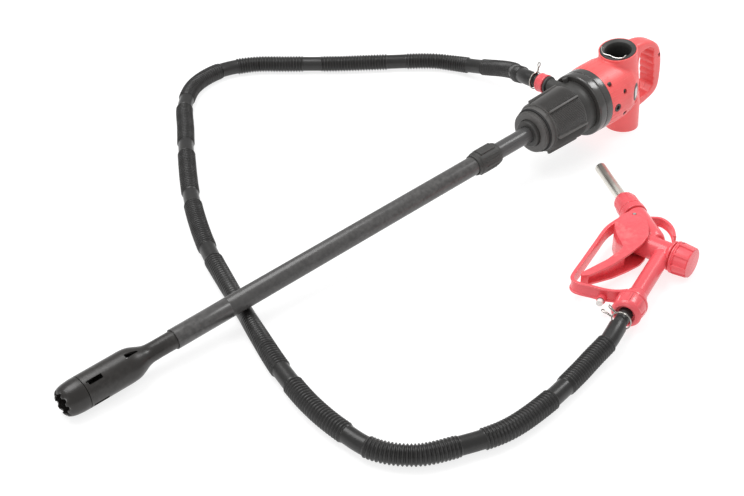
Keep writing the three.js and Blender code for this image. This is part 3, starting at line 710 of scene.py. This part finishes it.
# ---- Base ring, outlet and bung collar ----
def add_base():
    profile = [(RING_FRONT, 24), (RING_FRONT, 46.4), (RING_FRONT + 2, 48.1), (-87.2, HEAD_RADIUS),
               (-86.8, 47.3), (-85.6, 47.3), (-85.2, HEAD_RADIUS), (HEAD_FRONT - SEAM, HEAD_RADIUS + 0.2),
               (HEAD_FRONT - SEAM, 43), (-96, 43), (-96, 24)]
    add("base_ring", lathe(soften(profile, 0.7, 3, True), 128), PUMP, RING_BLACK, "root", ["base_ring"])
    neck = [(-186, 14), (-186, 26.8), (-127, 26.8), (COLLAR_BACK + 0.4, 37.6), (-113, 39.6),
            (RING_FRONT - SEAM, 39.9), (RING_FRONT - SEAM, 7.5), (-104.5, 7.5), (-108.5, 14)]
    boss_place = PUMP.inverted() @ OUTLET
    boss = moved(lathe(soften([(-12, 0), (-12, 10.4), (14, 10.4), (15.5, 13.4), (18.4, 13.6), (19, 13),
                               (19, 0)], 0.6)),
                 boss_place)
    port = moved(rod(-24, 21, 7), boss_place)
    gland = moved(lathe(soften([(30, 0), (30, 3.6), (44, 3.6), (44.4, 4.3), (46.5, 4), (46.5, 0)], 0.6)),
                  aimed((-106, 0, 0), (0, 0.41, 0.91)))
    body = carved(carved(lathe(soften(neck, 0.8, 3, True), 96), boss, gland, how="UNION"), port)
    add("outlet_body", body, PUMP, HANDLE_BLACK, "root", ["outlet_body"])


def ribbed_cone(x, radius, angle):
    """Fine ribs on the panels of the collar, between its fins."""
    if radius < 36.4 or x > COLLAR_BACK - 0.3 or x < COLLAR_FRONT + 0.4:
        return 0
    return 0.8 * max(-0.6, math.cos(angle * 120))


def add_collar():
    steps = 12
    cone = []
    for i in range(steps + 1):
        x = COLLAR_FRONT + 1 + (COLLAR_BACK - COLLAR_FRONT - 2) * i / steps
        cone.append((x, 36.8 + 3.5 * i / steps))
    front = soften([(THREAD_FRONT, 20.8), (THREAD_FRONT, 29.2), (THREAD_FRONT + 1.2, 30), (-190, 30),
                    (-190, 33.6), (-187, 34), (COLLAR_FRONT, 34), (COLLAR_FRONT, 36)], 0.6, 2)
    back = [(COLLAR_BACK, 39.8), (COLLAR_BACK, 37.2), (-178, 33.6), (-178, 27.6), (-186.6, 27.6),
            (-186.6, 20.8)]
    sleeve = lathe(front + cone + back, 600, ribbed_cone)
    threads = [tube(x - 0.9, x + 0.9, 31, 29.4, 72, 0.5) for x in (-198.6, -196, -193.4)]
    fins = []
    for i in range(6):
        side = [(COLLAR_FRONT + 0.6, 34.5), (COLLAR_FRONT + 0.6, 41.2), (COLLAR_FRONT + 2.4, 41.9),
                (COLLAR_BACK - 2, 43.3), (COLLAR_BACK - 0.3, 42.6), (COLLAR_BACK - 0.3, 37.6)]
        fin = eased(upright(plate_shape(side, -1.5, 1.5)), 0.45)
        fins.append(turned(fin, math.pi / 6 + i * math.pi / 3))
    add("bung_collar", joined(sleeve, *threads, *fins), PUMP, COLLAR_BLACK, "bung_collar", ["bung_collar"])
    add("bung_gasket", tube(-193, -190 - SEAM, 33.4, 30.4, 72, 0.8), PUMP, SEAL_RUBBER, "bung_collar",
        ["bung_gasket"])
    gland = [(GLAND_FRONT, 12.4), (GLAND_FRONT, 18.6), (GLAND_FRONT + 1.6, 20), (-186.3, 20),
             (-186.3, 13.6), (-177, 13.6), (-177, 12.4)]
    add("tube_gland", lathe(soften(gland, 0.6, 3, True), 72), PUMP, HANDLE_BLACK, "root", ["tube_gland"])


def fluted(x, radius, angle):
    """Shallow grip flats round a union nut."""
    if radius < 13.9:
        return 0
    return -0.35 * max(0, math.cos(angle * 12)) ** 4


def add_outlet():
    add("outlet_washer", tube(19.3, 21, 10, 6.8, 48, 0.3), OUTLET, SEAL_RUBBER, "root", ["outlet_washer"])
    nut = [(20.4, 10.6), (20.4, 13.8), (21.4, 14.4), (24, 14.4), (24.6, 14), (31, 14), (31.6, 14.4),
           (33.4, 14.4), (35, 13), (35, 9.3), (25, 9.3), (25, 10.6)]
    add("outlet_nut", lathe(soften(nut, 0.5, 2, True), 144, fluted), OUTLET, NOZZLE_RED, "outlet_union",
        ["outlet_union_nut"])
    tail = [(21.3, 6.5), (21.3, 10), (24.7, 10), (24.7, 8.8), (40, 8.8), (44.6, 9.2), (46, 8.6), (46, 6.5)]
    add("outlet_tail", lathe(soften(tail, 0.4, 2, True), 48), OUTLET, CUFF_BLACK, "root",
        ["outlet_hose_tail"])


def clamp_wire(tails):
    """A sprung wire clamp: two turns round the hose, and twisted tails that end in eyes."""
    turns = []
    for i in range(33):
        angle = i * math.pi / 8
        turns.append((-1 + i / 16, 12.5 * math.cos(angle), 12.5 * math.sin(angle)))
    strands = [wire(turns, 0.75)]
    for angle, lean, length in tails:
        axis = Vector((math.sin(lean), math.cos(lean), 0))
        side = Vector((math.cos(lean), -math.sin(lean), 0))
        start = Vector((0, 12, 0))
        for phase in (0, math.pi):
            twist = []
            for i in range(13):
                turn = phase + i * 0.85
                across = side * math.cos(turn) + Vector((0, 0, 1)) * math.sin(turn)
                twist.append(start + axis * (length * 0.55 * i / 12) + across * 0.8)
            strands.append(turned(wire(twist, 0.75, 0.6, 8), angle))
        eye = []
        for i in range(21):
            turn = i * math.pi / 10
            eye.append(start + axis * (length * (0.775 - 0.225 * math.cos(turn))) + side * 2.1 * math.sin(turn))
        strands.append(turned(wire(eye, 0.8, 0.6, 8), angle))
    return joined(*strands)


# ---- Tubes ----
def add_tubes():
    upper = [(-650, 11), (-650, UPPER_TUBE_RADIUS), (-176.7, UPPER_TUBE_RADIUS), (-176.7, 13.6),
             (-173, 13.6), (-173, 11)]
    add("upper_tube", lathe(upper, 96), PUMP, UPPER_GREY, "root", ["upper_tube"])
    lower = [(TUBE_STEP, 12.35), (TUBE_STEP, LOWER_TUBE_RADIUS), (TUBE_JOINT - 0.4, LOWER_TUBE_RADIUS),
             (TUBE_JOINT, LOWER_TUBE_RADIUS - 0.25), (TUBE_JOINT + 0.4, LOWER_TUBE_RADIUS),
             (-283, LOWER_TUBE_RADIUS), (-283, 12.35)]
    add("lower_tube", lathe(lower, 96), PUMP, TUBE_GREY, "lower_tube", ["lower_tube"])
    sleeve = [(NUT_FRONT, 13.8), (NUT_FRONT, 14.8), (NUT_FRONT + 1, 15.4), (-312.6, 15.4), (-311, 16.8),
              (-307, 17), (-279, 17), (-276, 16.4), (NUT_BACK, 15.4), (NUT_BACK, 12.4), (-278.4, 12.4),
              (-278.4, 13.8)]
    body = lathe(soften(sleeve, 0.6, 2, True), 96)
    pads = [turned(eased(block(-308, -280, -7, 7, 15, 18.2), 1.1, 3), angle) for angle in (0, math.pi)]
    ridges = []
    for i in range(16):
        ridge = eased(block(-306, -281, -0.5, 0.5, 16.2, 17.6), 0.3)
        if abs(math.cos(i * math.pi / 8)) < 0.85:
            ridges.append(turned(ridge, i * math.pi / 8))
        else:
            ridge.free()
    add("lock_nut", joined(body, *pads, *ridges), PUMP, HANDLE_BLACK, "lock_nut", ["tube_lock_nut"])


def add_foot():
    outside = [(BULB_RING + 0.1, BULB_RADIUS), (-905, BULB_RADIUS), (-899, 20.9), (-893, 19.7), (-886, 17),
               (-880, 14.3), (-875, 12.7), (NECK_END, 12), (-860, 11.7), (TUBE_STEP - SEAM, 11.8)]
    inside = [(TUBE_STEP - SEAM, 9.5), (-872, 9.5), (-888, 12), (BULB_BACK, 19.2), (BULB_RING + 0.1, 19.2)]
    skin = lathe(soften(outside, 6, 4) + soften(inside, 1, 2), 96)
    side_slots = []
    for i in range(4):
        side_slots.append(turned(eased(block(-963, -942, -3, 3, 12, 26), 0.5), 0.52 + i * math.pi / 2))
    shoulder_slots = []
    for i in range(3):
        outline = soften([(-906, -3.5), (-906, 3.5), (-888, 1.1), (-888, -1.1)], 1, 3, True)
        shoulder_slots.append(turned(plate_shape(outline, 10, 26), 0.25 + i * 2 * math.pi / 3))
    cage = carved(skin, *side_slots, *shoulder_slots)
    add("strainer_cage", joined(cage, tube(-822, TUBE_STEP - SEAM, 12, 9.5)), PUMP, FOOT_BLACK,
        "lower_tube", ["strainer_cage"])
    rim_profile = [(FOOT_TIP, 13.2), (FOOT_TIP, 14.6), (-993, 17.2), (-989, 19), (-984, 20.2), (-975, 21.1),
                   (BULB_RING - SEAM, BULB_RADIUS), (BULB_RING - SEAM, 18.9), (-960, 18.9), (-960, 17.4),
                   (-984, 17)]
    rim = lathe(soften(rim_profile, 1.2, 3, True), 144)
    notches = [turned(moved(rod(9, 26, 3.3, 28), aimed((FOOT_TIP - 0.4, 0, 0), (0, 0, 1))),
                      i * 2 * math.pi / 9)
               for i in range(9)]
    add("strainer_rim", eased(carved(rim, *notches), 0.5), PUMP, FOOT_BLACK, "lower_tube", ["strainer_rim"])


# ---- Hand nozzle, lying on its side ----
JUNCTION = (-250, -284, 0)
UNION_BACK = (-355, -321.5, 0)
BODY_FRONT = (-202.8, -202.6, 0)
SPOUT_TOWARDS = (0.482, 0.876, 0)
CAP_CENTRE = (-236, -307.5, 0)
VALVE_TOWARDS = (-0.18, 0.984, 0)
PIVOT = (-223.2, -213.8)
LEVER_TOWARDS = (-0.973, -0.228, 0)
GRIP_VECTOR = Vector(UNION_BACK) - Vector(JUNCTION)
GRIP_LENGTH = GRIP_VECTOR.length
GRIP = aimed(JUNCTION, GRIP_VECTOR)
SPOUT = aimed(BODY_FRONT, SPOUT_TOWARDS)
VALVE = aimed(CAP_CENTRE, VALVE_TOWARDS)


def pivot_hole(radius):
    return moved(moved(rod(-40, 40, radius, 32), Matrix.Rotation(math.pi / 2, 4, "Y")),
                 Matrix.Translation((PIVOT[0], PIVOT[1], 0)))


def add_nozzle_body():
    grip = moved(rod(-8, GRIP_LENGTH + 6, 11.8), GRIP)
    barrel = moved(lathe([(-66, 0), (-66, 15), (-58, 17), (4, 17), (4, 0)]), SPOUT)
    chamber = moved(rod(9, 76, 15.8), VALVE)
    core = moulded(joined(grip, barrel, chamber), 1.0, 9)
    trims = [moved(rod(GRIP_LENGTH, GRIP_LENGTH + 30, 30), GRIP), moved(rod(0, 30, 30), SPOUT),
             moved(rod(-10, 14, 30), VALVE)]
    trimmed = carved(core, *trims)
    shoulder = moved(lathe(soften([(-17, 0), (-17, 11.2), (-12, 14), (-4, 15.2), (0, 15.2), (0, 0)], 2, 4)),
                     GRIP @ Matrix.Translation((GRIP_LENGTH, 0, 0)))
    flange = moved(lathe(soften([(13.4, 0), (13.4, 20.6), (17, 20.6), (19, 16.6), (26, 15), (26, 0)], 1.6,
                                4)), VALVE)
    thread = moved(lathe(soften([(2, 0), (2, 17), (13.6, 17), (13.6, 0)], 0.4)), VALVE)
    neck = moved(rod(-2, 9, 13), SPOUT)
    outside = carved(trimmed, shoulder, flange, thread, neck, how="UNION")
    bores = [moved(rod(10, GRIP_LENGTH + 1, 7), GRIP), moved(rod(1, 62, 12), VALVE),
             moved(rod(60, 80, 3, 24), VALVE), moved(rod(-44, 10, 8.6), SPOUT), pivot_hole(2.6)]
    add("nozzle_body", carved(outside, *bores), NOZZLE, NOZZLE_RED, "root", ["nozzle_body"])


def nut_flats(count, depth, low, high):
    """Makes a ripple that cuts shallow flats between grip ribs over a range of x."""
    def ripple(x, radius, angle):
        if not low < x < high:
            return 0
        return -depth if math.cos(angle * count) < 0.72 else 0
    return ripple


def add_spout():
    nut = [(3, 13.4), (3, 17.8), (3.8, 18.4), (13.4, 18.4), (14.2, 17.8), (14.7, 16.3), (16.3, 16.3),
           (17, 17.4), (36, 17), (42, 15.4), (47, 12.2), (50.4, 10), (51, 9), (51, 8.4), (9.4, 8.4),
           (9.4, 13.4)]
    shape = lathe(soften(nut, 0.8, 3, True), 96, nut_flats(8, 1.1, 18, 41))
    add("spout_nut", shape, NOZZLE @ SPOUT, NOZZLE_RED, "root", ["spout_nut"])
    add("spout", tube(-20, 134, 8, 6.9, 96, 0.45), NOZZLE @ SPOUT, SPOUT_METAL, "root", ["spout"])


def add_valve():
    profile = [(-14, 0), (-14, 19.6), (-13.2, 20.4), (-12, 21), (5.6, 22.4), (6.6, 22.4), (7.2, 21.2),
               (8.6, 21.2), (9.2, 22.2), (11, 22.2), (11.4, 21.4), (11.4, 17.4), (-9, 17.4), (-9, 0)]
    cap = lathe(soften(profile, 0.5, 2), 192, nut_flats(8, 1.8, -13.6, 6.2))
    add("valve_cap", cap, NOZZLE @ VALVE, NOZZLE_RED, "root", ["valve_cap"], crease=25)


LEVER_OUTLINE = [(-222, -205), (-240, -203), (-260, -209.5), (-276, -227), (-289, -250), (-322, -250.5),
                 (-366, -243), (-369, -248), (-362, -254), (-324, -262.5), (-295, -264), (-267, -263.5),
                 (-248, -258), (-232, -245), (-219, -230), (-214, -216)]


def lever_wedge(thick, thin):
    """A slab along the lever that narrows from the pivot to the tip."""
    side = [(-60, -thick), (30, -thick), (152, -thin), (152, thin), (30, thick), (-60, thick)]
    return moved(upright(plate_shape(side, -90, 90)), aimed((PIVOT[0], PIVOT[1], 0), LEVER_TOWARDS))


def add_lever():
    plate = plate_shape(soften(LEVER_OUTLINE, 5, 4, True), -21, 21)
    outside = carved(plate, lever_wedge(21, 7.5), how="INTERSECT")
    hollow = soften([(-195, -290), (-195, -190), (-232, -190), (-240, -206.8), (-258, -212.5), (-273, -230),
                     (-287, -253.8), (-322, -254.2), (-362, -247), (-362, -290)], 4, 3, True)
    inside = carved(plate_shape(hollow, -17.9, 17.9), lever_wedge(17.9, 4.4), how="INTERSECT")
    shell = carved(outside, inside, pivot_hole(2.9))
    add("trigger", eased(shell, 1.0, 3, 30), NOZZLE, NOZZLE_RED, "trigger", ["trigger_lever"])
    pin = lathe(soften([(-21.5, 0), (-21.5, 2.2), (21.5, 2.2), (21.5, 0)], 0.4), 32)
    place = NOZZLE @ Matrix.Translation((PIVOT[0], PIVOT[1], 0)) @ Matrix.Rotation(math.pi / 2, 4, "Y")
    add("trigger_pin", pin, place, BRIGHT_STEEL, "root", ["trigger_pin"])


GUARD_PATH = [(-215, -197), (-241, -196.8), (-262, -199.2), (-300, -212), (-345, -228), (-372, -237.5),
              (-382, -242.5), (-386, -250), (-384, -259), (-378, -272), (-371.5, -287), (-363.5, -298.5),
              (-355, -305.5), (-349, -309)]
HOOK_PATH = [(-198, -219), (-187, -232), (-188, -246), (-196, -260), (-208, -272)]
LATCH = aimed((-372, -286, -4), (-0.919, -0.394, 0))


def channel_section(thickness, width, depth):
    """A strap section with a shallow channel along its inner face."""
    half = thickness / 2
    edge = width / 2
    return soften([(-half, -edge), (half, -edge), (half, -edge + 2.2), (half - depth, -edge + 3),
                   (half - depth, edge - 3), (half, edge - 2.2), (half, edge), (-half, edge)], 0.9, 3, True)


def strap(points, section):
    return sweep(through([Vector((x, y, 0)) for x, y in points], 1.5), section, up=(0, 0, 1))


def add_guard():
    guard = strap(GUARD_PATH, channel_section(5, 18, 1.6))
    boss = moved(lathe(soften([(-2.4, 0), (-2.4, 6), (8.4, 6), (9, 5.6), (9, 0)], 0.4), 40), LATCH)
    bore = moved(lathe([(-14, 0), (-14, 2.8), (3.8, 2.8), (3.8, 4.8), (20, 4.8), (20, 0)], 32), LATCH)
    barrel_room = moved(rod(-70, 3, 17.1), SPOUT)
    grip_room = moved(rod(0, 140, 15), GRIP)
    shape = carved(carved(guard, boss, how="UNION"), bore, barrel_room, grip_room)
    add("trigger_guard", shape, NOZZLE, NOZZLE_RED, "root", ["trigger_guard"])
    pin = lathe(soften([(-6, 0), (-6, 2.4), (9.4, 2.4), (9.4, 4.4), (16, 4.3), (16, 0)], 0.9, 4), 40)
    add("hold_open_pin", pin, NOZZLE @ LATCH, WHITE_PLASTIC, "hold_open_pin", ["hold_open_pin"])
    hook = strap(HOOK_PATH, channel_section(4.2, 14, 1.2))
    add("hanging_hook", carved(hook, moved(rod(-70, 3, 17.1), SPOUT)), NOZZLE, NOZZLE_RED, "root",
        ["hanging_hook"])


def add_inlet():
    end = GRIP_LENGTH
    nut = [(end + 0.4, 7.6), (end + 0.4, 17), (end + 2, 19.6), (end + 4, 20.6), (end + 7, 20.6),
           (end + 7.5, 19.8), (end + 9, 19.8), (end + 9.5, 20.6), (end + 24, 20.4), (end + 28, 19.6),
           (end + 31, 17.6), (end + 32.6, 15), (end + 33, 13.6), (end + 31.4, 12), (end + 29, 11),
           (end + 28.6, 9.3), (end + 20, 9.3), (end + 20, 10.9), (end + 3, 10.9), (end + 3, 7.6)]
    shape = lathe(soften(nut, 0.6, 2, True), 192, nut_flats(8, 1.5, end + 10, end + 27))
    add("nozzle_union", shape, NOZZLE @ GRIP, NOZZLE_RED, "nozzle_union", ["nozzle_union_nut"],
        crease=28)
    tail = [(end + 15, 6.5), (end + 15, 10.5), (end + 19.7, 10.5), (end + 19.7, 8.8), (end + 57, 8.8),
            (end + 57, 6.5)]
    add("nozzle_tail", lathe(soften(tail, 0.4, 2, True), 48), NOZZLE @ GRIP, CUFF_BLACK, "root",
        ["nozzle_hose_tail"])


def add_clamps():
    pump_clamp = turned(clamp_wire([(0, 0.1, 15.5)]), math.pi * 0.62)
    add("pump_clamp", pump_clamp, OUTLET @ Matrix.Translation((44, 0, 0)), WIRE_STEEL, "root",
        ["pump_hose_clamp"])
    nozzle_clamp = turned(clamp_wire([(0, 0.25, 15), (0.75, -0.35, 17)]), math.pi * 0.72)
    place = NOZZLE @ GRIP @ Matrix.Translation((GRIP_LENGTH + 45, 0, 0))
    add("nozzle_clamp", nozzle_clamp, place, WIRE_STEEL, "root", ["nozzle_hose_clamp"])


# ---- Inner pieces, which keep their shape and take a real finish ----
def finish_inner_pieces():
    finishes = {
        "motor_can": BRIGHT_STEEL, "motor_end_bell": HANDLE_BLACK, "motor_front_bearing": BRIGHT_STEEL,
        "motor_rear_bearing": BRIGHT_STEEL, "motor_armature": COPPER_METAL, "shaft_lip_seal": SEAL_RUBBER,
        "shaft_coupling": BRIGHT_STEEL, "upper_drive_shaft": BRIGHT_STEEL,
        "upper_shaft_guide": WHITE_PLASTIC,
        "lower_drive_shaft": BRIGHT_STEEL, "foot_shaft_bush": WHITE_PLASTIC, "impeller": WHITE_PLASTIC,
        "lock_collet": WHITE_PLASTIC, "valve_stem": BRIGHT_STEEL, "valve_spring": BRIGHT_STEEL,
    }
    for name, finish in finishes.items():
        node = bpy.data.objects[name]
        for slot in node.material_slots:
            slot.material = finish


add_camera()
add_hose()
add_studio()
add_head()
add_holster()
add_base()
add_collar()
add_outlet()
add_tubes()
add_foot()
add_nozzle_body()
add_spout()
add_valve()
add_lever()
add_guard()
add_inlet()
add_clamps()
finish_inner_pieces()
